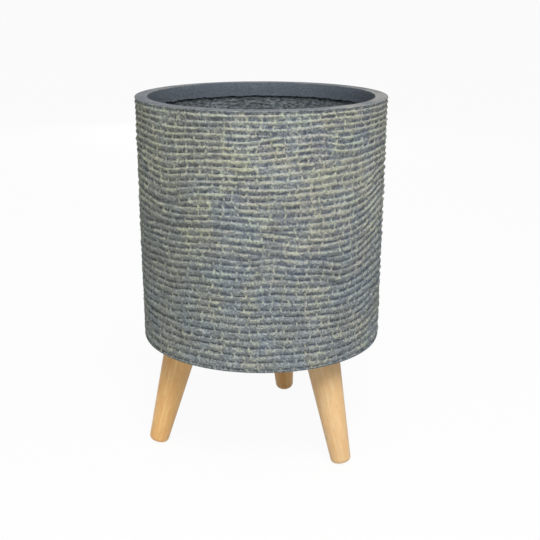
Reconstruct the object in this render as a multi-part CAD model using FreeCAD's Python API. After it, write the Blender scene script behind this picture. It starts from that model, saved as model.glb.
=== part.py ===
# Round fibre-clay planter on three splayed, turned wooden legs.
# Millimetres, +Z up. The origin is on the ground, under the middle of the pot.
import FreeCAD, Part
import math
import os

# Pot shell
rim_radius = 150.0          # outside of the rim, the widest place
base_radius = 148.0         # outside of the wall at its lower edge
wall_height = 296.4         # lower edge of the wall to the top of the rim
ground_clearance = 140.6    # ground to the lower edge of the wall
rim_width = 15.0            # flat top of the rim
lip_depth = 18.0            # smooth band inside the mouth, below the rim
wall_thickness = 11.5       # crests of the courses to the inner wall
floor_thickness = 14.0
floor_fillet = 12.0         # inside corner between wall and floor
rim_edge = 1.0              # bevel on the rim's two edges
base_edge = 1.8             # bevel on the wall's lower edge

# Courses that run round the wall like hand-laid coils of rope, with slots between them
course_depth = 2.4          # depth of the slots
course_pitch_top = 6.9      # mean height of the uppermost course
course_pitch_low = 9.8      # mean height of the lowest course
course_crest = 0.18         # place of the crest below a course's top, as a share of its height
course_unevenness = 0.09    # share by which a course's height varies along it
course_thinning = 0.8       # share of its height that a course loses where it runs out
course_turn = 100.0         # degrees from one course's unevenness to the next one's
rim_slot = 3.0              # height of the slot right under the rim
base_slot = 0.7             # height of the slot right above the lower bevel
columns = 96                # places round the wall where the courses are set out

# Long stretches where the courses rise or sag. Each has its azimuth in degrees, its height above the
# lower edge, its rise, its reach round the wall in degrees and its reach up the wall.
course_drifts = [
    (239, 213, -8, 18, 85),
    (238, 63, -2.5, 15, 60),
    (296, 203, -3, 20, 50),
    (318, 143, -9, 26, 85),
    (326, 38, -4, 20, 50),
    (353, 173, 9, 14, 110),
    (215, 168, 10, 14, 120),
    (42, 218, -7, 22, 70),
    (64, 98, -10, 30, 70),
    (164, 188, -8, 24, 80),
    (134, 78, 8, 26, 60),
    (104, 188, 7, 26, 70),
]

# Legs
leg_azimuths = {"front_left": 210.0, "front_right": 330.0, "back": 90.0}
leg_splay = 14.8            # degrees from upright, leaning outwards
leg_inset = 47.6            # lower edge of the wall to the leg's axis, across the base
leg_top_radius = 21.2
leg_foot_radius = 12.0
foot_edge = 5.5             # rounding of the square-cut foot

# Moulded seats under the base, square to the legs
seat_margin = 3.5           # seat face beyond the leg's top, all round
seat_flare = 7.0            # growth of the seat's radius towards the base
seat_land = 1.5             # least depth of a seat below the base

# M8 hanger bolts and the threaded inserts moulded into the seats
thread_radius = 4.0
thread_clearance = 0.05     # running clearance round the bolt
insert_radius = 6.0
insert_length = 14.0
insert_flange_radius = 9.0
insert_flange_thickness = 1.5
insert_clearance = 0.02     # between the insert's sides and its pocket
bolt_end_gap = 2.0          # end of the bolt to the inner end of the insert
bolt_chamfer = 0.8          # lead-in at the machine-thread end
bolt_wood_length = 30.0     # length of the bolt inside the leg
bolt_point = 6.0            # pointed end of the wood screw
pilot_gap = 1.0             # free depth beyond the bolt's point

# Drain hole and its rubber plug
drain_radius = 12.0         # at the inner floor
drain_flare = 1.0           # the hole is this much wider at the underside
plug_clearance = 0.05
plug_recess = 1.0           # top of the plug below the inner floor
plug_flange_overlap = 5.0   # flange beyond the hole, all round
plug_flange_thickness = 3.0
plug_grip_width = 16.0
plug_grip_thickness = 5.0
plug_grip_height = 11.0
plug_grip_round = 5.0       # rounding of the grip's two free corners

# Places that follow from the sizes above
ORIGIN = FreeCAD.Vector(0, 0, 0)
UP = FreeCAD.Vector(0, 0, 1)
SIDEWAYS = FreeCAD.Vector(0, 1, 0)
rim_z = ground_clearance + wall_height
lip_z = rim_z - lip_depth
lip_radius = rim_radius - rim_width
course_top = rim_z - rim_edge - rim_slot
course_low = ground_clearance + base_edge + base_slot
course_count = round(2 * (course_top - course_low) / (course_pitch_top + course_pitch_low))
floor_z = ground_clearance + floor_thickness
splay = math.radians(leg_splay)
leg_circle = base_radius - leg_inset
seat_radius = leg_top_radius + seat_margin
seat_depth = seat_radius * math.tan(splay) + seat_land
bolt_radius = thread_radius - thread_clearance
bolt_engagement = insert_length - bolt_end_gap


def rounded_corner(before, corner, after, setback):
    """The tangent arc that leaves both lines at the setback from their corner."""
    back = (before - corner).normalize()
    on = (after - corner).normalize()
    inwards = (back + on).normalize()
    half_angle = back.getAngle(inwards)
    radius = setback * math.tan(half_angle)
    middle = corner + inwards * (radius / math.sin(half_angle) - radius)
    return [corner + back * setback, middle, corner + on * setback]


def outline(corners):
    """A closed outline in the XZ plane. Each corner is (radius, z) or (radius, z, setback)."""
    places = [FreeCAD.Vector(corner[0], 0, corner[1]) for corner in corners]
    bends = []
    for i, corner in enumerate(corners):
        if len(corner) == 3:
            bends.append(rounded_corner(
                places[i - 1], places[i], places[(i + 1) % len(places)], corner[2]))
        else:
            bends.append([places[i]])
    edges = []
    for i, bend in enumerate(bends):
        edges.append(Part.LineSegment(bends[i - 1][-1], bend[0]).toShape())
        if len(bend) == 3:
            edges.append(Part.Arc(*bend).toShape())
    return Part.Wire(edges)


def turned(corners):
    """A solid of revolution about Z."""
    return Part.Face(outline(corners)).revolve(ORIGIN, UP, 360)


def along_leg(shape, azimuth):
    """Moves a shape made on Z, with its seat plane at zero, to its place on a leg's axis."""
    shape = shape.copy()
    shape.translate(UP * -seat_depth)
    shape.rotate(ORIGIN, SIDEWAYS, -leg_splay)
    shape.translate(FreeCAD.Vector(leg_circle, 0, ground_clearance))
    shape.rotate(ORIGIN, UP, azimuth)
    return shape


def wall_radius(z):
    """Outside of the wall, which tapers from the rim to the base."""
    return base_radius + (rim_radius - base_radius) * (z - ground_clearance) / wall_height


def apart(azimuth, middle):
    """Degrees from a middle, the short way round."""
    return (azimuth - middle + 180) % 360 - 180


def uneven(azimuth):
    """An uneven wave round the pot, about one high, that closes on itself."""
    turn = math.radians(azimuth)
    return (math.sin(2 * turn) + math.sin(3 * turn + 1)
            + math.sin(5 * turn + 2) + math.sin(8 * turn + 4)) / math.sqrt(2)


def presence(course, azimuth):
    """One where a course has its full height, and less where it runs out between its neighbours."""
    if course % 2 == 0 or not 2 < course < course_count - 2:
        return 1.0
    half_width = 8 + 9 * (course % 3)
    shoulder = 16
    rise = (half_width + shoulder - abs(apart(azimuth, course * course_turn))) / shoulder
    rise = min(max(rise, 0), 1)
    return 1 - course_thinning * rise * rise * (3 - 2 * rise)


def drifted(z, azimuth):
    """The height of a slot after the rises and sags, which leave the first and last slots level."""
    for middle, height, rise, reach, spread in course_drifts:
        along = math.exp(-(apart(azimuth, middle) / reach) ** 2)
        up_the_wall = math.exp(-((z - ground_clearance - height) / spread) ** 2)
        share = min(max((z - course_low) / (course_top - course_low), 0), 1)
        z += rise * along * up_the_wall * math.sqrt(math.sin(math.pi * share))
    return z


def slot_heights(azimuth):
    """Heights of the slots above and below each course at one azimuth, from the rim down."""
    heights = []
    for course in range(course_count):
        share = course / (course_count - 1)
        pitch = course_pitch_top + (course_pitch_low - course_pitch_top) * share
        pitch *= 1 + course_unevenness * uneven(azimuth + course * course_turn)
        heights.append(pitch * presence(course, azimuth))
    fit = (course_top - course_low) / sum(heights)
    z = course_top
    slots = [course_top]
    for height in heights:
        z -= height * fit
        slots.append(drifted(z, azimuth))
    return slots


def on_wall(azimuth, z, depth):
    """A place on the wall, at a depth below the crests of the courses."""
    turn = math.radians(azimuth)
    radius = wall_radius(z) - depth
    return FreeCAD.Vector(radius * math.cos(turn), radius * math.sin(turn), z)


def closed_curve(places):
    curve = Part.BSplineCurve()
    curve.interpolate(Points=places, PeriodicFlag=True)
    return Part.Wire(curve.toShape())


def course_rings():
    """The wall's wavy rings from the rim down: the first slot, then each course's crest and lower slot."""
    azimuths = [360 * column / columns for column in range(columns)]
    slots = [slot_heights(azimuth) for azimuth in azimuths]
    rings = [[on_wall(azimuth, course_top, course_depth) for azimuth in azimuths]]
    for course in range(course_count):
        crest = []
        slot = []
        for azimuth, z in zip(azimuths, slots):
            raised = min(max(1.6 * presence(course, azimuth) - 0.5, 0), 1)
            share = course_crest * raised + 0.5 * (1 - raised)
            crest_z = z[course] + share * (z[course + 1] - z[course])
            crest.append(on_wall(azimuth, crest_z, course_depth * (1 - raised)))
            slot.append(on_wall(azimuth, z[course + 1], course_depth))
        rings += [crest, slot]
    return [closed_curve(ring) for ring in rings]


def circle(radius, z):
    return Part.Wire(Part.makeCircle(radius, UP * z))


def shell():
    """The moulded shell: flat rim, coursed wall and floor, hollowed out to the inner wall and lip."""
    outside = Part.makeLoft([
        circle(rim_radius - rim_edge, rim_z),
        circle(rim_radius, rim_z - rim_edge),
        *course_rings(),
        circle(base_radius, ground_clearance + base_edge),
        circle(base_radius - base_edge, ground_clearance),
    ], True, True)
    inside = turned([
        (0, rim_z),
        (0, floor_z),
        (base_radius - wall_thickness, floor_z, floor_fillet),
        (wall_radius(lip_z) - wall_thickness, lip_z),
        (lip_radius, lip_z),
        (lip_radius, rim_z - rim_edge),
        (lip_radius + rim_edge, rim_z),
    ])
    return outside.cut(inside)


def leg_seat(azimuth):
    """A short moulded cone under the base, with its end face square to the leg."""
    height = seat_depth + floor_thickness
    cone = Part.makeCone(seat_radius, seat_radius + seat_flare, height)
    below_mid_floor = Part.makeCylinder(
        base_radius - base_edge, ground_clearance + floor_thickness / 2)
    return along_leg(cone, azimuth).common(below_mid_floor)


def insert_pocket():
    """The space that a threaded insert is moulded into, from the seat face up."""
    flange = Part.makeCylinder(insert_flange_radius + insert_clearance, insert_flange_thickness)
    sleeve = Part.makeCylinder(insert_radius + insert_clearance, insert_length)
    return flange.fuse(sleeve)


def drain_cone(clearance):
    """The drain hole's tapered shape, made smaller all round by a clearance."""
    wide = drain_radius + drain_flare - clearance
    return Part.makeCone(wide, drain_radius - clearance, floor_thickness, UP * ground_clearance)


def pot_body():
    pot = shell()
    for azimuth in leg_azimuths.values():
        pot = pot.fuse(leg_seat(azimuth))
    for azimuth in leg_azimuths.values():
        pot = pot.cut(along_leg(insert_pocket(), azimuth))
    return pot.cut(drain_cone(0)).removeSplitter()


def threaded_insert():
    """A flanged sleeve with a bore for the bolt, flush with the seat face."""
    return turned([
        (thread_radius, 0),
        (insert_flange_radius, 0),
        (insert_flange_radius, insert_flange_thickness),
        (insert_radius, insert_flange_thickness),
        (insert_radius, insert_length),
        (thread_radius, insert_length),
    ])


def hanger_bolt():
    """Machine thread up into the insert, pointed wood thread down into the leg."""
    return turned([
        (0, bolt_engagement),
        (bolt_radius - bolt_chamfer, bolt_engagement),
        (bolt_radius, bolt_engagement - bolt_chamfer),
        (bolt_radius, bolt_point - bolt_wood_length),
        (0, -bolt_wood_length),
    ])


def leg_length():
    """Seat to the square-cut end, so that the rounded foot just meets the ground."""
    seat_z = ground_clearance - seat_depth * math.cos(splay)
    sole_drop = (leg_foot_radius - foot_edge) * math.sin(splay)
    return foot_edge + (seat_z - foot_edge - sole_drop) / math.cos(splay)


def leg():
    """A tapered leg turned from one piece, with a pilot hole for its bolt."""
    sole_z = -leg_length()
    pilot_z = -bolt_wood_length - pilot_gap
    return turned([
        (thread_radius, 0),
        (leg_top_radius, 0),
        (leg_foot_radius, sole_z, foot_edge),
        (0, sole_z),
        (0, pilot_z),
        (thread_radius, pilot_z + bolt_point),
    ])


def drain_plug():
    """A tapered rubber plug, pushed in from below, with a flange and a grip to pull it by."""
    flange_z = ground_clearance - plug_flange_thickness
    grip_z = flange_z - plug_grip_height
    flange_radius = drain_radius + drain_flare + plug_flange_overlap
    above_plug = Part.makeCylinder(flange_radius, floor_thickness, UP * (floor_z - plug_recess))
    flange = Part.makeCylinder(flange_radius, plug_flange_thickness, UP * flange_z)
    grip = Part.makeBox(
        plug_grip_width, plug_grip_thickness, plug_grip_height,
        FreeCAD.Vector(-plug_grip_width / 2, -plug_grip_thickness / 2, grip_z))
    free_corners = [
        edge for edge in grip.Edges
        if edge.tangentAt(edge.FirstParameter).isParallel(SIDEWAYS, 0.01)
        and edge.BoundBox.ZMax < flange_z]
    grip = grip.makeFillet(plug_grip_round, free_corners)
    return drain_cone(plug_clearance).cut(above_plug).fuse(flange).fuse(grip).removeSplitter()


os.makedirs("parts", exist_ok=True)
pot_body().exportStep("parts/pot_body.step")
drain_plug().exportStep("parts/drain_plug.step")
for place, azimuth in leg_azimuths.items():
    along_leg(threaded_insert(), azimuth).exportStep(f"parts/threaded_insert_{place}.step")
    along_leg(hanger_bolt(), azimuth).exportStep(f"parts/hanger_bolt_{place}.step")
    along_leg(leg(), azimuth).exportStep(f"parts/leg_{place}.step")
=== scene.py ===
import math
import bpy
import numpy as np
from mathutils import Matrix, Vector


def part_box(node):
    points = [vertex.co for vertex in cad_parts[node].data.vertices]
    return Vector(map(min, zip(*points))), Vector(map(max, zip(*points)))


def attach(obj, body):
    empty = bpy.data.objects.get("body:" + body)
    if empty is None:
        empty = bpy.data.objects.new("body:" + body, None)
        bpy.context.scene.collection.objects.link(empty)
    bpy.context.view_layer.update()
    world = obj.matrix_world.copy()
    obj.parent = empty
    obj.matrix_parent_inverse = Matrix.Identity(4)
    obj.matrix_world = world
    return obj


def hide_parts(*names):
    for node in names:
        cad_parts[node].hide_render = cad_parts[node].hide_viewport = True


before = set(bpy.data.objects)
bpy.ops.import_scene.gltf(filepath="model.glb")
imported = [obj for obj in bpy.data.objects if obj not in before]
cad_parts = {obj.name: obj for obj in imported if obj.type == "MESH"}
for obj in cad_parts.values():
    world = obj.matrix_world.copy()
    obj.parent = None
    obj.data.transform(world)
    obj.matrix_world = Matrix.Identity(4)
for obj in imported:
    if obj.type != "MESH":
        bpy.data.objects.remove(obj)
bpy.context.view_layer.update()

# The pot is one moulding of fibre clay, a mix of clay, cement and short fibre cast in a mould.
# Its wall carries courses like coils of rope, tied across. It is painted slate grey, with cream brushed
# dry over the raised courses, smooth paint on the rim and lip, and raw clay inside and underneath.
rim_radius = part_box("pot_body")[1].x
rim_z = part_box("pot_body")[1].z
rim_edge = 0.0010
base_radius = 0.148
base_z = 0.1406
base_edge = 0.0025

courses = 37
course_depth = 0.0024
pitch_top = 0.0069
pitch_low = 0.0098
top_slot = 0.0030
course_unevenness = 0.09
course_turn = math.radians(100)
course_thinning = 0.80
thin_degrees = 8
thin_degrees_more = 9
run_out = math.radians(16)

full_turn = 2 * math.pi
places_round = 1440
photo_turn = 14.3
photo_side = math.radians(photo_turn - 90)
draw = np.random.default_rng(11)


def wall_radius(z):
    """Outside of the wall, which tapers from the rim to the base."""
    return base_radius + (rim_radius - base_radius) * (z - base_z) / (rim_z - base_z)


def wander(azimuth, slowest, fastest):
    """A smooth random line round the pot, about one unit high, that closes on itself."""
    line = np.zeros_like(azimuth)
    for waves in range(slowest, fastest + 1):
        line += math.sqrt(2) * np.cos(waves * azimuth + draw.uniform(0, full_turn))
    return line / math.sqrt(fastest - slowest + 1)


def apart(azimuth, middle):
    """Signed angle from a middle, the short way round."""
    return (azimuth - middle + math.pi) % full_turn - math.pi


def stretch(azimuth, middle, half_width, shoulder):
    """One along a stretch of the wall, falling to zero over a shoulder at each end."""
    rise = np.clip((half_width + shoulder - np.abs(apart(azimuth, middle))) / shoulder, 0, 1)
    return rise * rise * (3 - 2 * rise)


def uneven(azimuth):
    """An uneven wave round the pot, about one high, that closes on itself."""
    return (np.sin(2 * azimuth) + np.sin(3 * azimuth + 1)
            + np.sin(5 * azimuth + 2) + np.sin(8 * azimuth + 4)) / math.sqrt(2)


# The courses are set out by the heights of the borders between them. Each has its own height round the pot,
# turned from the last one's, and every second one runs out somewhere, where its neighbours close up.
round_pot = np.linspace(0, full_turn, places_round, endpoint=False)
course_top = rim_z - rim_edge - top_slot
course_low = base_z + base_edge
pitch = np.linspace(pitch_top, pitch_low, courses)[:, None] * np.ones_like(round_pot)
presence = np.ones_like(pitch)
for course in range(courses):
    pitch[course] *= 1 + course_unevenness * uneven(round_pot + course * course_turn)
for course in range(3, courses - 2, 2):
    half_width = math.radians(thin_degrees + thin_degrees_more * (course % 3))
    presence[course] -= course_thinning * stretch(round_pot, course * course_turn, half_width, run_out)
pitch *= presence
pitch *= (course_top - course_low) / pitch.sum(axis=0)
border = course_top - np.vstack([np.zeros_like(round_pot), np.cumsum(pitch, axis=0)])

# The courses rise and sag in long stretches. Each has its azimuth in degrees, its height above the lower
# edge, its rise, its reach round the wall in degrees and its reach up the wall.
drifts = [
    (239, 0.213, -0.008, 18, 0.085),
    (238, 0.063, -0.0025, 15, 0.060),
    (296, 0.203, -0.003, 20, 0.050),
    (318, 0.143, -0.009, 26, 0.085),
    (326, 0.038, -0.004, 20, 0.050),
    (353, 0.173, 0.009, 14, 0.110),
    (214, 0.165, -0.005, 14, 0.055),
    (42, 0.218, -0.007, 22, 0.070),
    (64, 0.098, -0.010, 30, 0.070),
    (164, 0.188, -0.008, 24, 0.080),
    (134, 0.078, 0.008, 26, 0.060),
    (104, 0.188, 0.007, 26, 0.070),
]
for middle, height, rise, reach, spread in drifts:
    along = np.exp(-(apart(round_pot, math.radians(middle)) / math.radians(reach)) ** 2)
    up_the_wall = np.exp(-((border - base_z - height) / spread) ** 2)
    level_ends = np.sqrt(np.sin(math.pi * np.clip((border - course_low) / (course_top - course_low), 0, 1)))
    border = border + rise * along * up_the_wall * level_ends

# Small ties cross the slots between the courses. Their heights and the slots' depths are shares of the
# courses' depth, and each tie has its own place, width, height and load of paint.
ties_per_course = 66
tie_profile = (0.0, 1.0, 1.0, 0.0, 0.0)
columns_per_tie = len(tie_profile)
columns = ties_per_course * columns_per_tie
tie_foot = 0.0014
tie_top = 0.0008
tie_scatter = 0.33
tie_widths = (0.8, 1.35)
tie_heights = (0.0, 0.38, 0.52, 0.66)
tie_chances = (0.08, 0.26, 0.38, 0.28)
most_lean = 0.0006
tie_paints = (0.55, 1.10)
low_tie_paint = 0.50
slot_depths = (0.75, 1.12)
slot_raggedness = 0.00018


def tie_columns():
    """Azimuths of a slot's columns, five for each tie: foot, top, top, foot and the open slot."""
    spacing = full_turn / ties_per_course
    scatter = draw.uniform(-tie_scatter, tie_scatter, ties_per_course)
    middles = (np.arange(ties_per_course) + scatter) * spacing
    gaps = (np.roll(middles, -1) - middles) % full_turn
    width = draw.uniform(*tie_widths, ties_per_course) / rim_radius
    parts = [
        middles - tie_foot * width,
        middles - tie_top * width,
        middles + tie_top * width,
        middles + tie_foot * width,
        middles + gaps / 2,
    ]
    return np.stack(parts, axis=1).ravel()


def each_tie(values):
    """Gives all the columns of a tie the tie's own value."""
    return np.repeat(values, columns_per_tie)


slot_azimuth = []
tie_height = []
slot_depth = []
tie_lean = []
tie_paint = []
for slot in range(courses + 1):
    heights = draw.choice(tie_heights, ties_per_course, p=tie_chances)
    slot_azimuth.append(tie_columns())
    tie_height.append(each_tie(heights) * np.tile(tie_profile, ties_per_course))
    slot_depth.append(each_tie(draw.uniform(*slot_depths, ties_per_course)))
    tie_lean.append(draw.uniform(-most_lean, most_lean) / rim_radius)
    tie_paint.append(each_tie(draw.uniform(*tie_paints, ties_per_course)))

# The section's rings run up the wall, over the rim, down the inside and back under the base.
RELIEF_PAINT, SMOOTH_PAINT, RAW_INSIDE, RAW_UNDERSIDE = range(4)
even = np.arange(columns) * full_turn / columns
ring_azimuth = []
ring_radius = []
ring_z = []
ring_brush = []
ring_finish = []


def ring(radius, z, finish, azimuth=even, brush=0.0):
    """A ring of the section, with the finish that starts at it and how much it is brushed or worn. On one
    side of the rim this also holds a painted sheen.
    """
    ring_azimuth.append(azimuth)
    ring_radius.append(np.ones(columns) * radius)
    ring_z.append(np.ones(columns) * z)
    ring_brush.append(np.ones(columns) * brush)
    ring_finish.append(finish)


def course_ring(course, place, azimuth, relief, brush, ragged):
    """A ring at a share of the way down a course. Its relief and paint fade where the course runs out."""
    here = np.interp(azimuth, round_pot, presence[course], period=full_turn)
    top = np.interp(azimuth, round_pot, border[course], period=full_turn)
    low = np.interp(azimuth, round_pot, border[course + 1], period=full_turn)
    kept = np.clip(here * 1.6 - 0.5, 0, 1)
    pitted = 0.05 + 0.05 * course / courses
    z = top + place * (low - top) + here * draw.normal(0, ragged, columns)
    raised = relief * kept + draw.normal(0, pitted, columns)
    ring(wall_radius(z) - course_depth * (1 - raised), z, RELIEF_PAINT, azimuth, brush * kept)


def slot_ring(slot, course, place, lean, height, brush, tie_brush):
    """A ring in the slot between two courses, crossed by its ties. Lower ties are painted more."""
    azimuth = slot_azimuth[slot] + tie_lean[slot] * lean
    relief = np.maximum(1 - (1 - height) * slot_depth[slot], tie_height[slot])
    ties = (tie_height[slot] > 0) * tie_paint[slot] * (tie_brush + low_tie_paint * slot / courses)
    course_ring(course, place, azimuth, relief, np.maximum(brush, ties), slot_raggedness)


# The lower edge of the wall is rounded. Above it each course takes six rings: two in the slot below it,
# three on its rounded face, and one at the foot of the slot above it. The slots narrow towards the base.
slot_share_top = 0.48
slot_share_low = 0.30
crest_height = 0.92
crest_waviness = 0.13
ring(base_radius - base_edge, base_z, RAW_UNDERSIDE)
# The rounded lower edge carries no brush, so it takes the painted shade of the low slots.
ring(base_radius - base_edge * 0.32, base_z + base_edge * 0.22, RELIEF_PAINT)
ring(base_radius - base_edge * 0.16, base_z + base_edge * 0.75, RELIEF_PAINT)
for course in reversed(range(courses)):
    down = course / (courses - 1)
    slot_share = slot_share_top - (slot_share_top - slot_share_low) * down
    crest = crest_height + crest_waviness * wander(even, 8, 40)
    above = slot_azimuth[course]
    across = apart(slot_azimuth[course + 1], above)
    slot_ring(course + 1, course, 1 - slot_share * 0.35, lean=-0.2, height=0.04, brush=0.0, tie_brush=1.5)
    slot_ring(course + 1, course, 1 - slot_share * 0.88, lean=1.0, height=0.36, brush=0.25, tie_brush=1.05)
    course_ring(course, 1 - slot_share - 0.12, above + across * 0.8,
                relief=crest * 0.84, brush=crest * 0.68, ragged=0.00022)
    course_ring(course, 0.28, above + across * 0.4,
                relief=crest, brush=crest * 1.06, ragged=0.00020)
    course_ring(course, 0.11, above + across * 0.12,
                relief=crest * 0.90, brush=crest * 1.15, ragged=0.00028)
    slot_foot = 0.0 if course else 0.35
    slot_ring(course, course, 0.0, lean=-1.0, height=slot_foot, brush=0.0, tie_brush=1.5)

# The slot under the rim is shallow, and its ties run up to the rim's edge.
top_azimuth = slot_azimuth[0]
top_ties = tie_height[0]
top_tie_brush = 1.3 * top_ties
for share, height in ((0.35, 0.45), (0.85, 0.75)):
    relief = np.maximum(height, top_ties)
    ring(rim_radius - course_depth * (1 - relief), course_top + top_slot * share, RELIEF_PAINT,
         top_azimuth, top_tie_brush)
ring(rim_radius, rim_z - rim_edge, RELIEF_PAINT, top_azimuth, top_tie_brush)

# The rim is flat and slightly dished, and its paint is rubbed paler, with a painted sheen on one side. The
# lip inside it is smooth down to a ragged lower edge.
rim_width = 0.015
rim_dish = 0.0002
rim_waviness = 0.0001
lip_depth = 0.018
lip_radius = rim_radius - rim_width
lip_z = rim_z - lip_depth
lip_draft = 0.0003
lip_edge = 0.0010
lip_waviness = 0.00014
lip_raggedness = 0.0004
rim_wear = 0.20
rim_sheen_strength = 0.26
# Painted sheen: one side of the rim is made paler.
rim_sheen_azimuth = photo_side + math.radians(80)
rim_sheen = stretch(even, rim_sheen_azimuth, half_width=math.radians(25), shoulder=math.radians(50))
rim_wear_and_sheen = rim_wear + rim_sheen_strength * rim_sheen
dish = rim_z - rim_dish + rim_waviness * wander(even, 3, 9)
ragged = lip_waviness * wander(even, 10, 40) + draw.normal(0, lip_raggedness, columns)
ring(rim_radius - rim_edge * 0.25, rim_z - rim_edge * 0.25, SMOOTH_PAINT, brush=rim_wear_and_sheen)
ring(rim_radius - rim_edge, rim_z, SMOOTH_PAINT, brush=rim_wear_and_sheen + 0.05)
ring(rim_radius - rim_width * 0.5, dish, SMOOTH_PAINT, brush=rim_wear_and_sheen)
ring(lip_radius + rim_edge, rim_z, SMOOTH_PAINT, brush=rim_wear_and_sheen + 0.05)
ring(lip_radius + rim_edge * 0.25, rim_z - rim_edge * 0.25, SMOOTH_PAINT, brush=rim_wear_and_sheen + 0.10)
ring(lip_radius, rim_z - rim_edge * 1.2, SMOOTH_PAINT)
ring(lip_radius + lip_draft * 2 / 3, rim_z - lip_depth * 0.55, SMOOTH_PAINT)
ring(lip_radius + lip_draft, lip_z + lip_edge * 0.6 + ragged, SMOOTH_PAINT)
ring(lip_radius + lip_edge * 1.6, lip_z - lip_edge * 0.4 + ragged, RAW_INSIDE)

# The inside is rough down to a rounded corner. The floor is slightly uneven, and a drain hole goes through
# it, wider at its lower end.
wall_thickness = 0.0115
inner_top = wall_radius(lip_z) - wall_thickness
inner_foot = base_radius - wall_thickness
inner_steps = 12
inner_waviness = 0.0003
inner_roughness = 0.00012
floor_z = 0.1546
floor_fillet = 0.012
fillet_steps = 4
floor_waviness = 0.0002
floor_rings = (0.095, 0.060, 0.030)
underside_rings = (0.035, 0.060, 0.100, 0.135)
drain_radius = 0.012
drain_flare = 0.001
hole_edge = 0.0008
ring(inner_top, lip_z + lip_edge * 0.4, RAW_INSIDE)
for step in range(1, inner_steps):
    share = step / inner_steps
    z = lip_z + (floor_z + floor_fillet - lip_z) * share
    rough = inner_waviness * wander(even, 5, 40) + draw.normal(0, inner_roughness, columns)
    ring(inner_top + (inner_foot - inner_top) * share + rough, z, RAW_INSIDE)
for step in range(fillet_steps + 1):
    bend = math.radians(90 * step / fillet_steps)
    ring(inner_foot - floor_fillet * (1 - math.cos(bend)),
         floor_z + floor_fillet * (1 - math.sin(bend)), RAW_INSIDE)
for radius in floor_rings:
    ring(radius, floor_z + floor_waviness * wander(even, 3, 12), RAW_INSIDE)
ring(drain_radius + hole_edge, floor_z, RAW_INSIDE)
ring(drain_radius, floor_z - hole_edge, RAW_INSIDE)
ring(drain_radius + drain_flare, base_z + hole_edge, RAW_UNDERSIDE)
ring(drain_radius + drain_flare + hole_edge, base_z, RAW_UNDERSIDE)
for radius in underside_rings:
    ring(radius, base_z, RAW_UNDERSIDE)


def rolled(name, azimuth, radius, z):
    """A flat grid rolled up round Z, from rings of azimuths, radii and heights. Its seams stay open."""
    places = np.stack([radius * np.cos(azimuth), radius * np.sin(azimuth), z], axis=-1)
    bpy.ops.object.select_all(action="DESELECT")
    bpy.ops.mesh.primitive_grid_add(x_subdivisions=z.shape[1] - 1, y_subdivisions=z.shape[0] - 1, size=0.1)
    piece = bpy.context.object
    piece.name = name
    piece.data.vertices.foreach_set("co", places.astype(np.float32).ravel())
    return piece


def merge_seams(piece):
    """Joins the points that meet along seams and at poles, and turns all faces outwards."""
    bpy.context.view_layer.objects.active = piece
    bpy.ops.object.mode_set(mode="EDIT")
    bpy.ops.mesh.select_all(action="SELECT")
    bpy.ops.mesh.remove_doubles(threshold=1e-7)
    bpy.ops.mesh.normals_make_consistent(inside=False)
    bpy.ops.object.mode_set(mode="OBJECT")


def wrapped(rings):
    """Repeats the first ring and the first column at the end, so that the grid closes both ways."""
    return np.pad(np.array(rings), 1, mode="wrap")[1:, 1:]


pot = rolled("pot", wrapped(ring_azimuth), wrapped(ring_radius), wrapped(ring_z))
brush_values = pot.data.attributes.new("brush", "FLOAT", "POINT")
brush_values.data.foreach_set("value", wrapped(ring_brush).astype(np.float32).ravel())
pot.data.polygons.foreach_set("material_index", np.repeat(ring_finish, columns).astype(np.int32))
merge_seams(pot)


def srgb(red, green, blue):
    """A colour from 0 to 255, as the eye names it, in the linear values that a shader takes."""
    values = [c / 255 for c in (red, green, blue)]
    return (*[c / 12.92 if c <= 0.04045 else ((c + 0.055) / 1.055) ** 2.4 for c in values], 1.0)


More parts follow.
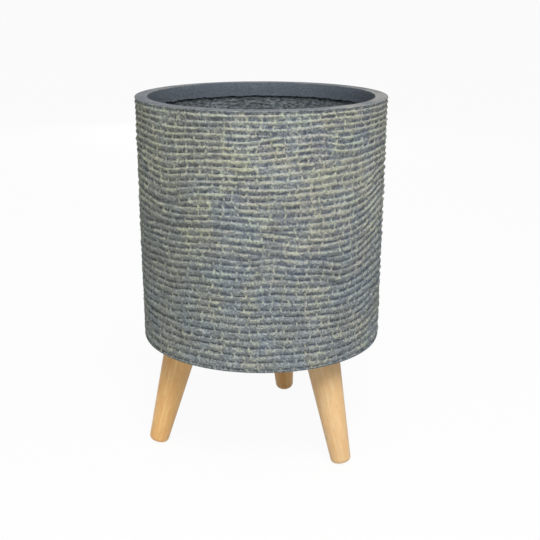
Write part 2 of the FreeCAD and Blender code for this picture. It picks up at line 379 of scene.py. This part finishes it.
class Finish:
    """A material, with short ways to add the nodes that its pattern needs."""

    def __init__(self, name, roughness, specular=0.5, metallic=0.0):
        self.material = bpy.data.materials.new(name)
        self.material.use_nodes = True
        self.tree = self.material.node_tree
        self.shader = self.tree.nodes["Principled BSDF"]
        self.shader.inputs["Roughness"].default_value = roughness
        self.shader.inputs["Specular IOR Level"].default_value = specular
        self.shader.inputs["Metallic"].default_value = metallic

    def node(self, kind, values, **settings):
        """A new node, with its settings and with a value or a link for each socket named."""
        node = self.tree.nodes.new("ShaderNode" + kind)
        for name, value in settings.items():
            setattr(node, name, value)
        for socket, value in values.items():
            self.put(node.inputs[socket], value)
        return node

    def put(self, socket, value):
        """Links a socket to another node's, or sets its value."""
        if isinstance(value, bpy.types.NodeSocket):
            self.tree.links.new(value, socket)
        else:
            socket.default_value = value

    def place(self):
        """The place on the object, in metres."""
        return self.node("TexCoord", {}).outputs["Object"]

    def pressed(self, place, by):
        """A place with its axes multiplied: over one presses a pattern together, under one draws it out."""
        return self.node("VectorMath", {0: place, 1: by}, operation="MULTIPLY").outputs[0]

    def attribute(self, name, output="Fac"):
        """What the mesh stores under a name."""
        return self.node("Attribute", {}, attribute_name=name).outputs[output]

    def noise(self, place, size, detail=3.0, roughness=0.55, distortion=0.0):
        """Noise mostly from 0 to 1, whose lumps are about the given size in metres."""
        values = {"Vector": place, "Scale": 1 / size, "Detail": detail,
                  "Roughness": roughness, "Distortion": distortion}
        return self.ease(self.node("TexNoise", values).outputs["Fac"], 0.3, 0.7)

    def math(self, operation, first, second=0.0, third=0.0):
        """One step of arithmetic on two or three values."""
        node = self.node("Math", {0: first, 1: second, 2: third}, operation=operation)
        return node.outputs[0]

    def times(self, first, second):
        """The product of two values."""
        return self.math("MULTIPLY", first, second)

    def plus(self, total, part, weight):
        """A total with a weighted part added."""
        return self.math("MULTIPLY_ADD", part, weight, total)

    def ease(self, value, start, end, low=0.0, high=1.0):
        """Goes smoothly from low to high as the value goes from start to end."""
        values = {"Value": value, "From Min": start, "From Max": end, "To Min": low, "To Max": high}
        return self.node("MapRange", values, interpolation_type="SMOOTHSTEP").outputs["Result"]

    def mix(self, share, first, second, blend="MIX"):
        """A share of the second colour over the first."""
        node = self.node("Mix", {}, data_type="RGBA", blend_type=blend)
        for socket, value in ((0, share), (6, first), (7, second)):
            self.put(node.inputs[socket], value)
        return node.outputs[2]

    def tint(self, share, colour, by):
        """A colour multiplied by another, by a share."""
        return self.mix(share, colour, (*by, 1.0), "MULTIPLY")

    def bump(self, height, depth):
        """A relief of the surface, with its depth in metres."""
        node = self.node("Bump", {"Height": height, "Distance": depth, "Strength": 1.0})
        self.put(self.shader.inputs["Normal"], node.outputs["Normal"])

    def colour(self, value):
        """The surface's own colour."""
        self.put(self.shader.inputs["Base Color"], value)

    def gloss(self, value):
        """A roughness that changes over the surface."""
        self.put(self.shader.inputs["Roughness"], value)


# The relief's paint has three layers: slate in the slots, a dry grey over most of the courses, and cream on
# what catches the brush best, more of it high up. Low slots and the rounded lower edge are darkened by
# painted shade, and one side has painted shade, darker, more olive and with less cream.
brushed = Finish("slate_with_cream_brushed_over", roughness=0.85, specular=0.25)
slate_blue = srgb(97, 101, 118)
slate_green = srgb(101, 109, 116)
slate_in_side_shade = srgb(92, 95, 88)
slate_dusty = srgb(134, 139, 142)
grey_low = srgb(117, 123, 126)
grey_low_pale = srgb(137, 143, 142)
grey_high = srgb(128, 133, 133)
grey_high_pale = srgb(154, 159, 154)
painted_slot_shade = srgb(76, 82, 86)
cream_warm = srgb(181, 177, 163)
cream_green = srgb(180, 185, 157)
pale_speck = srgb(156, 163, 161)
dark_pit = srgb(72, 76, 82)
side_shade_tint = (1.00, 1.00, 0.92)
warm_wash = (1.02, 1.00, 0.95)
cool_wash = (0.95, 0.99, 1.06)

place = brushed.place()
height = brushed.node("SeparateXYZ", {0: place}).outputs["Z"]
high_up = brushed.ease(height, 0.18, 0.42)
low_down = brushed.ease(height, 0.36, 0.18)
speckled = brushed.ease(height, 0.32, 0.17)
# Painted shade: the side turned away from the key lamp is made darker and more olive, with less cream and a
# yellower cast.
side_shade_azimuth = photo_side - math.radians(75)
side_shade_direction = (math.cos(side_shade_azimuth), math.sin(side_shade_azimuth), 0)
towards_it = brushed.node("VectorMath", {0: place, 1: side_shade_direction}, operation="DOT_PRODUCT")
painted_side_shade = brushed.ease(towards_it.outputs["Value"], 0.04, 0.13, high=0.75)

brush = brushed.attribute("brush")
grain = brushed.noise(place, size=0.0026, detail=2, roughness=0.7)
mottle = brushed.noise(place, size=0.0060, detail=2, roughness=0.6)
casts = brushed.noise(place, size=0.026, distortion=0.3)
patches = brushed.noise(place, size=0.045, distortion=0.4)
loaded = brushed.plus(brush, grain, 0.60)
loaded = brushed.plus(loaded, mottle, 0.45)
loaded = brushed.plus(loaded, patches, 0.50)

slate = brushed.mix(casts, slate_blue, slate_green)
slate = brushed.mix(painted_side_shade, slate, slate_in_side_shade)
slate = brushed.mix(brushed.times(grain, 0.55), slate, slate_dusty)
grey = brushed.mix(mottle, grey_low, grey_low_pale)
grey = brushed.mix(high_up, grey, brushed.mix(mottle, grey_high, grey_high_pale))
greyed = brushed.mix(brushed.ease(loaded, 0.45, 1.25, high=0.95), slate, grey)
# Painted shade: low on the wall, the slots and the rounded lower edge, which carry no brush, are darkened.
painted_low_shade = brushed.times(brushed.ease(brush, 0.34, 0.06, high=0.60), low_down)
greyed = brushed.mix(painted_low_shade, greyed, painted_slot_shade)

cream = brushed.mix(casts, cream_warm, cream_green)
cream_from = brushed.math("MULTIPLY_ADD", high_up, -0.40, 1.62)
cream_from = brushed.plus(cream_from, painted_side_shade, 0.25)
cream_full = brushed.math("ADD", cream_from, 0.6)
painted = brushed.mix(brushed.ease(loaded, cream_from, cream_full, high=0.64), greyed, cream)
specks = brushed.ease(brushed.noise(place, size=0.0024, detail=1, roughness=0.6), 0.55, 0.92, high=0.75)
painted = brushed.mix(brushed.times(specks, speckled), painted, pale_speck)
painted = brushed.tint(painted_side_shade, painted, side_shade_tint)
washes = brushed.noise(place, size=0.034, detail=2, distortion=0.5)
painted = brushed.tint(brushed.ease(washes, 0.5, 1.0), painted, warm_wash)
painted = brushed.tint(brushed.ease(washes, 0.5, 0.0), painted, cool_wash)
brushed.colour(brushed.mix(brushed.ease(grain, 0.50, 0.05, high=0.45), painted, dark_pit))
brushed.bump(brushed.plus(grain, mottle, 1.2), depth=0.0007)
pot.data.materials.append(brushed.material)

# The rim and the lip have a smooth coat of slate. On the rim it is less blue and rubbed paler by hands, and
# on one side it is paler still, as a painted sheen.
smooth_slate = Finish("smooth_slate", roughness=0.70, specular=0.10)
slate_dark = srgb(84, 91, 100)
slate_light = srgb(98, 106, 114)
rim_tint = (0.96, 0.92, 0.88)
pale_wear_and_sheen = srgb(144, 143, 140)
place = smooth_slate.place()
brush = smooth_slate.attribute("brush")
speckle = smooth_slate.noise(place, size=0.0025, detail=4)
clouds = smooth_slate.noise(place, size=0.05, detail=4)
slate = smooth_slate.mix(speckle, slate_dark, slate_light)
slate = smooth_slate.tint(smooth_slate.ease(brush, 0.0, 0.2), slate, rim_tint)
# The wear includes the painted sheen on one side of the rim.
wear_and_sheen = smooth_slate.plus(brush, clouds, 0.4)
wear_and_sheen = smooth_slate.plus(wear_and_sheen, speckle, 0.25)
smooth_slate.colour(smooth_slate.mix(smooth_slate.ease(wear_and_sheen, 0.45, 1.1, high=0.85), slate, pale_wear_and_sheen))
smooth_slate.bump(speckle, depth=0.0002)
pot.data.materials.append(smooth_slate.material)

# The inside is bare clay, lumpy and stained. The hollows of the lumps are dark, partly the clay's own
# colour and partly painted shade.
raw_inside = Finish("raw_clay_inside", roughness=0.95, specular=0.2)
clay_hollow_shade = srgb(46, 52, 60)
clay_lump = srgb(150, 158, 162)
green_stain = srgb(88, 98, 98)
place = raw_inside.place()
lumps = raw_inside.noise(raw_inside.pressed(place, (1, 1, 2.2)), size=0.0055, detail=5, roughness=0.65)
stains = raw_inside.noise(place, size=0.03, detail=4, distortion=0.6)
clay = raw_inside.mix(lumps, clay_hollow_shade, clay_lump)
raw_inside.colour(raw_inside.mix(raw_inside.times(stains, 0.4), clay, green_stain))
raw_inside.bump(lumps, depth=0.0015)
pot.data.materials.append(raw_inside.material)

# The underside is bare clay too, with the finer pits of the mould's open side.
raw_under = Finish("raw_clay_underside", roughness=0.95, specular=0.2)
clay_pit = srgb(80, 84, 88)
clay_face = srgb(106, 110, 112)
pale_stain = srgb(122, 122, 114)
place = raw_under.place()
pits = raw_under.noise(place, size=0.004, detail=5, roughness=0.6)
stains = raw_under.noise(place, size=0.04, detail=4)
clay = raw_under.mix(pits, clay_pit, clay_face)
raw_under.colour(raw_under.mix(raw_under.times(stains, 0.5), clay, pale_stain))
raw_under.bump(pits, depth=0.0004)
pot.data.materials.append(raw_under.material)

# Three conical seats are moulded under the base, of the same raw clay as the pot and part of it.
# The face of each is square to its leg, with a pocket for a threaded insert. Each seat is cut off level
# inside the floor and joined to the pot, and then its pocket is cut.
leg_azimuths = {"front_left": 210, "front_right": 330, "back": 90}
leg_splay = math.radians(14.8)
leg_circle = 0.1004
leg_top_radius = 0.0212
seat_margin = 0.0035
seat_least_depth = 0.0015
seat_radius = leg_top_radius + seat_margin
seat_flare = 0.007
seat_depth = seat_radius * math.tan(leg_splay) + seat_least_depth
seat_height = seat_depth + floor_z - base_z
seat_edge = 0.001
seat_sides = 96
mid_floor = (base_z + floor_z) / 2
insert_radius = 0.006
insert_length = 0.014
flange_radius = 0.009
flange_thickness = 0.0015
pocket_sides = 48
past_face = 0.001
tiny = 1e-6


def along_leg(azimuth):
    """Moves what is made on Z, with its seat plane at zero, to its place on a leg's axis."""
    return (Matrix.Rotation(math.radians(azimuth), 4, "Z")
            @ Matrix.Translation((leg_circle, 0, base_z))
            @ Matrix.Rotation(-leg_splay, 4, "Y")
            @ Matrix.Translation((0, 0, -seat_depth)))


def bevel_edges(piece, chosen, offset, segments):
    """Bevels the edges that are chosen by the places of their two ends."""
    bpy.ops.object.mode_set(mode="EDIT")
    bpy.ops.mesh.select_all(action="DESELECT")
    bpy.ops.object.mode_set(mode="OBJECT")
    for edge in piece.data.edges:
        edge.select = chosen(*[piece.data.vertices[end].co for end in edge.vertices])
    bpy.ops.object.mode_set(mode="EDIT")
    bpy.ops.mesh.bevel(offset=offset, segments=segments)
    bpy.ops.object.mode_set(mode="OBJECT")


def carve(piece, tool, operation):
    """Joins a tool to a piece or cuts it out, and clears the tool away."""
    cut = piece.modifiers.new(operation.lower(), "BOOLEAN")
    cut.object = tool
    cut.operation = operation
    cut.solver = "EXACT"
    bpy.context.view_layer.objects.active = piece
    bpy.ops.object.modifier_apply(modifier=cut.name)
    bpy.data.objects.remove(tool, do_unlink=True)


def smooth(piece, angle):
    """Shades a piece smooth, apart from edges sharper than an angle in degrees."""
    bpy.ops.object.select_all(action="DESELECT")
    piece.select_set(True)
    bpy.context.view_layer.objects.active = piece
    bpy.ops.object.shade_smooth_by_angle(angle=math.radians(angle))


def pocket(azimuth, radius, low, high):
    """A drum on a leg's axis, which cuts a round pocket."""
    bpy.ops.object.select_all(action="DESELECT")
    bpy.ops.mesh.primitive_cylinder_add(
        vertices=pocket_sides, radius=radius, depth=high - low, location=(0, 0, (low + high) / 2))
    bpy.ops.object.transform_apply(location=True)
    drum = bpy.context.object
    drum.data.transform(along_leg(azimuth))
    drum.data.materials.append(raw_under.material)
    return drum


for azimuth in leg_azimuths.values():
    bpy.ops.object.select_all(action="DESELECT")
    bpy.ops.mesh.primitive_cone_add(
        vertices=seat_sides, radius1=seat_radius, radius2=seat_radius + seat_flare, depth=seat_height,
        location=(0, 0, seat_height / 2))
    bpy.ops.object.transform_apply(location=True)
    seat = bpy.context.object
    bevel_edges(seat, lambda a, b: max(a.z, b.z) < tiny, seat_edge, segments=3)
    seat.data.transform(along_leg(azimuth))
    bpy.ops.object.mode_set(mode="EDIT")
    bpy.ops.mesh.select_all(action="SELECT")
    bpy.ops.mesh.bisect(plane_co=(0, 0, mid_floor), plane_no=(0, 0, 1), use_fill=True, clear_outer=True)
    bpy.ops.object.mode_set(mode="OBJECT")
    seat.data.materials.append(raw_under.material)
    carve(pot, seat, "UNION")
    carve(pot, pocket(azimuth, flange_radius, -past_face, flange_thickness), "DIFFERENCE")
    carve(pot, pocket(azimuth, insert_radius, 0.0, insert_length), "DIFFERENCE")

smooth(pot, angle=50)
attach(pot, "pot")
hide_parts("pot_body")

# The threaded inserts are flanged steel sleeves with an M8 thread, one moulded into each leg seat.
# Each is turned ring by ring, with the grooves of its thread in the bore.
thread_radius = 0.004
thread_pitch = 0.00125
thread_depth = 0.0004
insert_turns = 11
bore_chamfer = 0.0006
flange_edge = 0.0003


def turned(name, outline, around, hollow=False):
    """A piece turned about Z from an outline of radii and heights. A hollow one ends on its first ring."""
    bpy.ops.object.select_all(action="DESELECT")
    bpy.ops.mesh.primitive_circle_add(
        vertices=around, radius=outline[0][0], fill_type="NOTHING" if hollow else "NGON",
        location=(0, 0, outline[0][1]))
    bpy.ops.object.transform_apply(location=True)
    piece = bpy.context.object
    piece.name = name
    bpy.ops.object.mode_set(mode="EDIT")
    bpy.ops.mesh.select_all(action="SELECT")
    onwards = outline[1:] + outline[:1] if hollow else outline[1:]
    for (radius, z), (next_radius, next_z) in zip(outline, onwards):
        bpy.ops.mesh.extrude_region_move(TRANSFORM_OT_translate={"value": (0, 0, next_z - z)})
        bpy.ops.transform.resize(value=(next_radius / radius, next_radius / radius, 1))
    bpy.ops.object.mode_set(mode="OBJECT")
    merge_seams(piece)
    return piece


def copied(piece, name):
    """A copy of a piece, with its own mesh."""
    twin = piece.copy()
    twin.data = piece.data.copy()
    twin.name = name
    bpy.context.collection.objects.link(twin)
    return twin


insert_outline = [
    (thread_radius + bore_chamfer, 0.0),
    (flange_radius - flange_edge, 0.0),
    (flange_radius, flange_edge),
    (flange_radius, flange_thickness),
    (insert_radius, flange_thickness),
    (insert_radius, insert_length),
    (thread_radius + thread_depth, insert_length),
]
for turn in reversed(range(insert_turns)):
    insert_outline.append((thread_radius, thread_pitch * (turn + 0.75)))
    insert_outline.append((thread_radius + thread_depth, thread_pitch * (turn + 0.25)))

insert_steel = Finish("insert_steel_dull_zinc", roughness=0.45, metallic=1.0)
bloom = insert_steel.noise(insert_steel.place(), size=0.003)
insert_steel.colour(insert_steel.mix(bloom, srgb(164, 160, 148), srgb(198, 194, 184)))
insert_steel.gloss(insert_steel.ease(bloom, 0, 1, low=0.35, high=0.55))

first_insert = turned("insert", insert_outline, around=48, hollow=True)
first_insert.data.materials.append(insert_steel.material)
smooth(first_insert, angle=35)
for side, azimuth in leg_azimuths.items():
    insert = copied(first_insert, "insert_" + side)
    insert.data.transform(along_leg(azimuth))
    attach(insert, "pot")
    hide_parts("threaded_insert_" + side)
bpy.data.objects.remove(first_insert)

# The hanger bolts are zinc-plated steel, machine thread above the leg and a pointed wood thread inside it.
# Their right-hand threads are rolled from rings whose radius follows the helix.
bolt_radius = 0.00395
bolt_top = 0.012
bolt_chamfer = 0.0008
bolt_tip = -0.030
bolt_point = 0.006
bolt_columns = 41
machine_root = 0.00325
machine_rings_per_turn = 8
shank_radius = 0.0036
shank_top = -0.0005
shank_low = -0.004
wood_root = 0.0028
wood_pitch = 0.003
wood_rings_per_turn = 12

bolt_around = np.linspace(0, full_turn, bolt_columns)
machine_z = np.arange(bolt_top, 0.0, -thread_pitch / machine_rings_per_turn)
wood_z = np.arange(shank_low, bolt_tip, -wood_pitch / wood_rings_per_turn)
bolt_z = np.concatenate([[bolt_top], machine_z, [0.0, shank_top], wood_z, [bolt_tip]])
bolt_z = bolt_z[:, None] * np.ones_like(bolt_around)
bolt_azimuth = np.ones_like(bolt_z) * bolt_around


def threaded(root, pitch, fullness, slope):
    """Radius of a thread at each ring and column. A fullness over one leaves the ridge flat on top."""
    turn = (bolt_z / pitch - bolt_azimuth / full_turn) % 1
    ridge = np.clip(fullness - np.abs(turn - 0.5) * slope, 0, 1)
    return root + (bolt_radius - root) * ridge


machine_thread = threaded(machine_root, thread_pitch, fullness=1.15, slope=2.6)
wood_thread = threaded(wood_root, wood_pitch, fullness=1.0, slope=5.0)
chamfered_end = bolt_radius - bolt_chamfer + np.clip(bolt_top - bolt_z, 0, 1)
pointed_end = bolt_radius * (bolt_z - bolt_tip) / bolt_point
bolt_section = np.where(bolt_z > shank_low, shank_radius, wood_thread)
bolt_section = np.where(bolt_z > tiny, machine_thread, bolt_section)
bolt_section = np.minimum(np.minimum(bolt_section, chamfered_end), pointed_end)
bolt_section[0] = 0.0

bolt_steel = Finish("bolt_steel_zinc_plated", roughness=0.35, metallic=1.0)
bloom = bolt_steel.noise(bolt_steel.place(), size=0.002)
bolt_steel.colour(bolt_steel.mix(bloom, srgb(186, 187, 184), srgb(212, 212, 206)))
bolt_steel.gloss(bolt_steel.ease(bloom, 0, 1, low=0.25, high=0.45))

first_bolt = rolled("bolt", bolt_azimuth, bolt_section, bolt_z)
merge_seams(first_bolt)
first_bolt.data.materials.append(bolt_steel.material)
smooth(first_bolt, angle=40)
for side, azimuth in leg_azimuths.items():
    bolt = copied(first_bolt, "bolt_" + side)
    bolt.data.transform(along_leg(azimuth))
    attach(bolt, "bolt_" + side)
    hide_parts("hanger_bolt_" + side)
bpy.data.objects.remove(first_bolt)

# The legs are turned from pale hardwood with a satin lacquer, tapered, with a rounded foot.
# Each is screwed up against its seat by its bolt, and its grain runs along it.
leg_foot_radius = 0.012
foot_edge = 0.0055
foot_steps = 8
sole_radius = 0.002
sole_drop = (leg_foot_radius - foot_edge) * math.sin(leg_splay)
seat_z = base_z - seat_depth * math.cos(leg_splay)
leg_length = foot_edge + (seat_z - foot_edge - sole_drop) / math.cos(leg_splay)
pilot_depth = 0.031
pilot_tip = 0.0003
top_edge = 0.0007
top_edge_middle = 0.0002
top_edge_low = 0.0008
top_edge_taper = 0.00005

foot_corner = Vector((leg_foot_radius, -leg_length))
up_the_side = (Vector((leg_top_radius, 0)) - foot_corner).normalized()
inwards = Vector((-1, 0))
towards_middle = (up_the_side + inwards).normalized()
half_angle = up_the_side.angle(towards_middle)
foot_round = foot_edge * math.tan(half_angle)
foot_middle = foot_corner + towards_middle * (foot_edge / math.cos(half_angle))
round_start = (foot_corner + up_the_side * foot_edge - foot_middle).normalized()
round_end = (foot_corner + inwards * foot_edge - foot_middle).normalized()
leg_outline = [
    (pilot_tip, -pilot_depth),
    (thread_radius, bolt_point - pilot_depth),
    (thread_radius, -bore_chamfer),
    (thread_radius + bore_chamfer, 0.0),
    (leg_top_radius - top_edge, 0.0),
    (leg_top_radius - top_edge_middle, -top_edge_middle),
    (leg_top_radius - top_edge_taper, -top_edge_low),
]
for step in range(foot_steps + 1):
    spot = foot_middle + round_start.slerp(round_end, step / foot_steps) * foot_round
    leg_outline.append((spot.x, spot.y))
leg_outline.append((sole_radius, -leg_length))

# Each leg has its own tone, between a golden and a tan wood, and its own place in the grain.
leg_tones = {"front_left": 0.1, "front_right": 0.9, "back": 0.0}
grain_shift = 0.13
growth_ring = 0.0042
ring_waver = 0.0035
pore_size = 0.0007
golden_pale = srgb(238, 196, 130)
golden_deep = srgb(212, 159, 92)
golden_ruddy = srgb(218, 158, 88)
tan_pale = srgb(222, 192, 148)
tan_deep = srgb(206, 169, 118)
tan_ruddy = srgb(216, 170, 114)
brown_pore = srgb(150, 108, 62)
wood = Finish("leg_wood_satin", roughness=0.42, specular=0.45)
in_grain = wood.attribute("grain", "Vector")
tone = wood.attribute("tone")
pale = wood.mix(tone, golden_pale, tan_pale)
deep = wood.mix(tone, golden_deep, tan_deep)
ruddy = wood.mix(tone, golden_ruddy, tan_ruddy)
waver = wood.noise(wood.pressed(in_grain, (1, 1, 0.12)), size=0.010, detail=2)
over_rings = wood.node("SeparateXYZ", {0: in_grain}).outputs["X"]
over_rings = wood.plus(over_rings, waver, ring_waver)
growth = wood.math("SINE", wood.times(over_rings, full_turn / growth_ring))
long_fibres = wood.pressed(in_grain, (1, 1, 0.03))
fibre = wood.noise(long_fibres, size=0.0011, roughness=0.6)
streak = wood.noise(long_fibres, size=0.004, detail=2)
short_pores = wood.pressed(in_grain, (1, 1, 0.09))
pores = wood.node("TexNoise", {"Vector": short_pores, "Scale": 1 / pore_size}).outputs["Fac"]
flecks = wood.noise(wood.pressed(in_grain, (1, 1, 0.25)), size=0.007)
deepened = wood.math("MULTIPLY_ADD", fibre, 0.35, 0.15)
deepened = wood.plus(deepened, growth, 0.16)
deepened = wood.plus(deepened, streak, 0.25)
timber = wood.mix(deepened, pale, deep)
timber = wood.mix(wood.times(flecks, 0.55), timber, ruddy)
wood.colour(wood.mix(wood.ease(pores, 0.64, 0.72, high=0.45), timber, brown_pore))
wood.gloss(wood.ease(fibre, 0, 1, low=0.36, high=0.5))
wood.bump(fibre, depth=0.00006)

first_leg = turned("leg", leg_outline, around=72)
first_leg.data.materials.append(wood.material)
smooth(first_leg, angle=35)
spots = np.array([vertex.co for vertex in first_leg.data.vertices])
for number, (side, azimuth) in enumerate(leg_azimuths.items()):
    leg = copied(first_leg, "turned_leg_" + side)
    grain_places = spots + grain_shift * (number + 1)
    grain_values = leg.data.attributes.new("grain", "FLOAT_VECTOR", "POINT")
    grain_values.data.foreach_set("vector", grain_places.astype(np.float32).ravel())
    tone_values = leg.data.attributes.new("tone", "FLOAT", "POINT")
    tone_values.data.foreach_set("value", np.full(len(spots), leg_tones[side], np.float32))
    leg.data.transform(along_leg(azimuth))
    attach(leg, "leg_" + side)
    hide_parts("leg_" + side)
bpy.data.objects.remove(first_leg)

# The drain plug is black rubber, a taper pushed up into the drain hole from below, with a flange that stops
# it and a grip to pull it by. It is turned, and its grip is a bevelled block joined on.
plug_top = 0.1536
plug_top_edge = 0.0008
plug_top_round = 0.0002
plug_top_flare = 0.00005
plug_clearance = 0.00005
plug_flange_radius = 0.018
plug_flange_low = 0.1376
plug_flange_edge = 0.0010
plug_flange_round = 0.0003
plug_flange_chamfer = 0.0005
grip_width = 0.016
grip_thickness = 0.005
grip_low = 0.1266
grip_below_base = 0.001
grip_top = base_z - grip_below_base
grip_round = 0.005
grip_edge = 0.0006

plug_outline = [
    (plug_flange_radius - plug_flange_edge, plug_flange_low),
    (plug_flange_radius - plug_flange_round, plug_flange_low + plug_flange_round),
    (plug_flange_radius, plug_flange_low + plug_flange_edge),
    (plug_flange_radius, base_z - plug_flange_chamfer),
    (plug_flange_radius - plug_flange_chamfer, base_z),
    (drain_radius + drain_flare - plug_clearance, base_z),
    (drain_radius + plug_top_flare, plug_top - plug_top_edge),
    (drain_radius - plug_top_round, plug_top - plug_top_round),
    (drain_radius - plug_top_edge, plug_top),
]
plug = turned("plug", plug_outline, around=72)

bpy.ops.object.select_all(action="DESELECT")
bpy.ops.mesh.primitive_cube_add(size=1, location=(0, 0, (grip_low + grip_top) / 2))
grip = bpy.context.object
grip.scale = (grip_width, grip_thickness, grip_top - grip_low)
bpy.ops.object.transform_apply(location=True, scale=True)
bevel_edges(
    grip, lambda a, b: max(a.z, b.z) < grip_low + tiny and abs(a.x - b.x) < tiny,
    grip_round, segments=8)
round_edges = grip.modifiers.new("round_edges", "BEVEL")
round_edges.width = grip_edge
round_edges.segments = 3
round_edges.limit_method = "ANGLE"
bpy.ops.object.modifier_apply(modifier=round_edges.name)
carve(plug, grip, "UNION")

rubber = Finish("plug_rubber_black", roughness=0.7, specular=0.3)
place = rubber.place()
dust = rubber.noise(place, size=0.004, detail=4)
rubber.colour(rubber.mix(rubber.times(dust, 0.6), srgb(32, 32, 33), srgb(60, 60, 60)))
rubber.bump(rubber.noise(place, size=0.0008, detail=2), depth=0.00005)
plug.data.materials.append(rubber.material)
smooth(plug, angle=35)
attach(plug, "plug")
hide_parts("drain_plug")

# The floor is a plain white sheet, as in a studio. It is nearly white to the camera, keeps a faint shadow
# of the pot, and is clear when seen from below.
floor_size = 80
floor_grey = 0.70
white_share = 0.94
bpy.ops.object.select_all(action="DESELECT")
bpy.ops.mesh.primitive_plane_add(size=floor_size, location=(0, 0, 0))
floor = bpy.context.object
floor.name = "floor"
white = Finish("floor_white", roughness=0.9)
white.colour((floor_grey, floor_grey, floor_grey, 1))
rays = white.node("LightPath", {}).outputs
seen = white.math("MAXIMUM", rays["Is Camera Ray"], rays["Is Glossy Ray"])
seen = white.math("MAXIMUM", seen, rays["Is Transmission Ray"])
seen = white.times(seen, white_share)
glow = white.node("Emission", {"Strength": 1.0})
lit = white.node("MixShader", {0: seen, 1: white.shader.outputs[0], 2: glow.outputs[0]})
from_below = white.node("NewGeometry", {}).outputs["Backfacing"]
clear = white.node("BsdfTransparent", {})
one_sided = white.node("MixShader", {0: from_below, 1: lit.outputs[0], 2: clear.outputs[0]})
white.put(white.tree.nodes["Material Output"].inputs["Surface"], one_sided.outputs[0])
floor.data.materials.append(white.material)

# The light is soft and plain. A large square lamp hangs high in front of the pot, and weak ones stand low
# in front and behind. An even surround fills the rest, and is white where it is seen or mirrored.
surround_level = 0.36
lamps_face = Vector((0, 0, 0.27))
world = bpy.data.worlds.new("studio")
bpy.context.scene.world = world
world.use_nodes = True
surround = world.node_tree.nodes["Background"]
surround.inputs["Color"].default_value = (1, 1, 1, 1)
strength = surround.inputs["Strength"]
strength.default_value = surround_level
rays = world.node_tree.nodes.new("ShaderNodeLightPath").outputs
for ray in ("Is Camera Ray", "Is Glossy Ray", "Is Transmission Ray"):
    level = world.node_tree.nodes.new("ShaderNodeMath")
    level.operation = "MAXIMUM"
    world.node_tree.links.new(rays[ray], level.inputs[0])
    if strength.is_linked:
        world.node_tree.links.new(strength.links[0].from_socket, level.inputs[1])
    else:
        level.inputs[1].default_value = surround_level
    world.node_tree.links.new(level.outputs[0], strength)


def softbox(name, azimuth, elevation, distance, size, power):
    """A square lamp that faces the middle of the pot, placed by its angles from the camera's side."""
    around = photo_side + math.radians(azimuth)
    up = math.radians(elevation)
    back = Vector((math.cos(around) * math.cos(up), math.sin(around) * math.cos(up), math.sin(up)))
    bpy.ops.object.light_add(type="AREA", location=lamps_face + back * distance)
    lamp = bpy.context.object
    lamp.name = name
    lamp.data.size = size
    lamp.data.energy = power
    lamp.rotation_euler = back.to_track_quat("Z", "Y").to_euler()


softbox("key_softbox", azimuth=9, elevation=54, distance=2.2, size=1.2, power=55)
softbox("fill_softbox", azimuth=2, elevation=8, distance=2.6, size=1.5, power=6)
softbox("back_softbox", azimuth=185, elevation=5, distance=2.8, size=0.7, power=10)

# The camera stands where the photograph was taken from. Its place, tilt, lens and shift were fitted to the
# rim, the lower edge of the wall and the three feet.
camera_distance = 1.1509
camera_height = 0.5709
look_down = math.radians(17.03)
quarter_turn = math.radians(90)
bpy.ops.object.camera_add()
camera = bpy.context.object
camera.location.x = camera_distance * math.cos(photo_side)
camera.location.y = camera_distance * math.sin(photo_side)
camera.location.z = camera_height
camera.rotation_euler = (quarter_turn - look_down, 0, photo_side + quarter_turn)
camera.data.lens = 63.85
camera.data.shift_x = 0.0161
bpy.context.scene.camera = camera
bpy.context.scene.view_settings.view_transform = "Standard"
